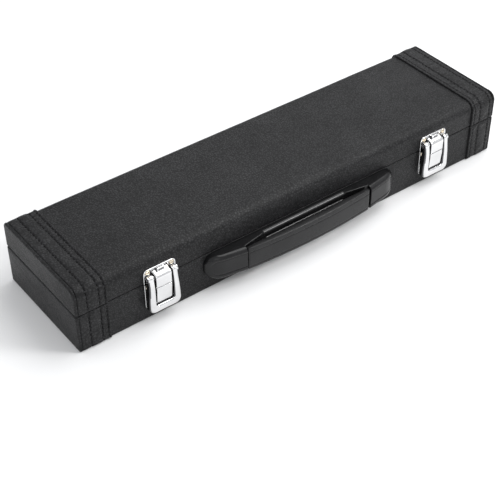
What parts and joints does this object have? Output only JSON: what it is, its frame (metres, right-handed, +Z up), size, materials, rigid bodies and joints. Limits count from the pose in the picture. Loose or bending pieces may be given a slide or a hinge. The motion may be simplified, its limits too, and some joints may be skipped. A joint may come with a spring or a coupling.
{
  "type": "flute case",
  "caption": "Long, flat hard case for a flute, covered in black leatherette, with a hinged lid, draw latches with hasp rings, a bowing strap handle and a plush lined insert.",
  "frame": {"origin": "centre of the flat underside, at the level the case rests on", "axes": "+X along the length, -Y the front with latches and handle, +Z up"},
  "size_m": [0.41, 0.1195, 0.057],
  "materials": {
    "leatherette": "fine pebbled black leatherette, soft sheen",
    "band_leatherette": "padded black leatherette with three rows of black stitching, slightly wrinkled",
    "board": "plain fibreboard, hidden",
    "insert_foam": "moulded foam, hidden under the plush",
    "plush": "short black plush, soft sheen on the folds",
    "ribbon": "black satin ribbon",
    "handle_plastic": "satin black moulded plastic",
    "grip_plastic": "black flexible plastic, finely grained",
    "chrome": "bright nickel chrome, slightly soft reflections",
    "brassy": "pale brassy rivets",
    "hinge_metal": "nickel plated steel",
    "steel": "plain steel"
  },
  "bodies": {
    "base": {"base_shell": "board", "base_cover": "leatherette", "base_bottom_sheet": "leatherette", "base_band_left": "band_leatherette", "base_band_right": "band_leatherette", "base_insert": "insert_foam", "base_lining": "plush", "ribbon_pull": "ribbon", "handle_base": "handle_plastic", "handle_screws": "steel", "grip_pin": "steel", "keeper_plate_left": "chrome", "keeper_plate_right": "chrome", "keeper_rivets": "brassy", "hinge_base_leaf_left": "hinge_metal", "hinge_base_leaf_right": "hinge_metal", "hinge_pin_left": "steel", "hinge_pin_right": "steel", "hinge_base_rivets": "steel"},
    "lid": {"lid_shell": "board", "lid_cover": "leatherette", "lid_band_left": "band_leatherette", "lid_band_right": "band_leatherette", "lid_pad": "plush", "lid_lining": "plush", "latch_plate_left": "chrome", "latch_plate_right": "chrome", "latch_rivets": "brassy", "hinge_lid_leaf_left": "hinge_metal", "hinge_lid_leaf_right": "hinge_metal", "hinge_lid_rivets": "steel"},
    "hasp_left": {"hasp_left": "chrome", "hasp_pin_left": "steel"},
    "hasp_right": {"hasp_right": "chrome", "hasp_pin_right": "steel"},
    "grip_right": {"grip_right": "grip_plastic"},
    "grip_mid": {"grip_mid": "grip_plastic"},
    "grip_left": {"grip_left": "grip_plastic"},
    "grip_tongue": {"grip_tongue": "grip_plastic"}
  },
  "joints": [
    {"name": "lid_hinge", "type": "hinge", "parent": "base", "child": "lid", "pos_m": [0, 0.0513, 0.034], "axis": [-1, 0, 0], "range_deg": [0, 115]},
    {"name": "hasp_left_pivot", "type": "hinge", "parent": "lid", "child": "hasp_left", "pos_m": [-0.1345, -0.0526, 0.04], "axis": [-1, 0, 0], "range_deg": [0, 100]},
    {"name": "hasp_right_pivot", "type": "hinge", "parent": "lid", "child": "hasp_right", "pos_m": [0.1345, -0.0526, 0.04], "axis": [-1, 0, 0], "range_deg": [0, 100]},
    {"name": "handle_bow", "type": "hinge", "parent": "base", "child": "grip_right", "pos_m": [0.0607, -0.057, 0.023], "axis": [0, 0, 1], "range_deg": [0, 24]},
    {"name": "grip_right_bend", "type": "hinge", "parent": "grip_right", "child": "grip_mid", "pos_m": [0.0118, -0.0625, 0.023], "axis": [0, 0, 1], "range_deg": [-24, 0]},
    {"name": "grip_left_bend", "type": "hinge", "parent": "grip_mid", "child": "grip_left", "pos_m": [-0.0182, -0.0625, 0.023], "axis": [0, 0, 1], "range_deg": [-24, 0]},
    {"name": "grip_neck_bend", "type": "hinge", "parent": "grip_left", "child": "grip_tongue", "pos_m": [-0.0671, -0.057, 0.023], "axis": [0, 0, 1], "range_deg": [0, 24]}
  ],
  "couplings": [
    {"joint": "grip_right_bend", "follows": "handle_bow", "ratio": -1},
    {"joint": "grip_left_bend", "follows": "handle_bow", "ratio": -1},
    {"joint": "grip_neck_bend", "follows": "handle_bow", "ratio": 1}
  ]
}
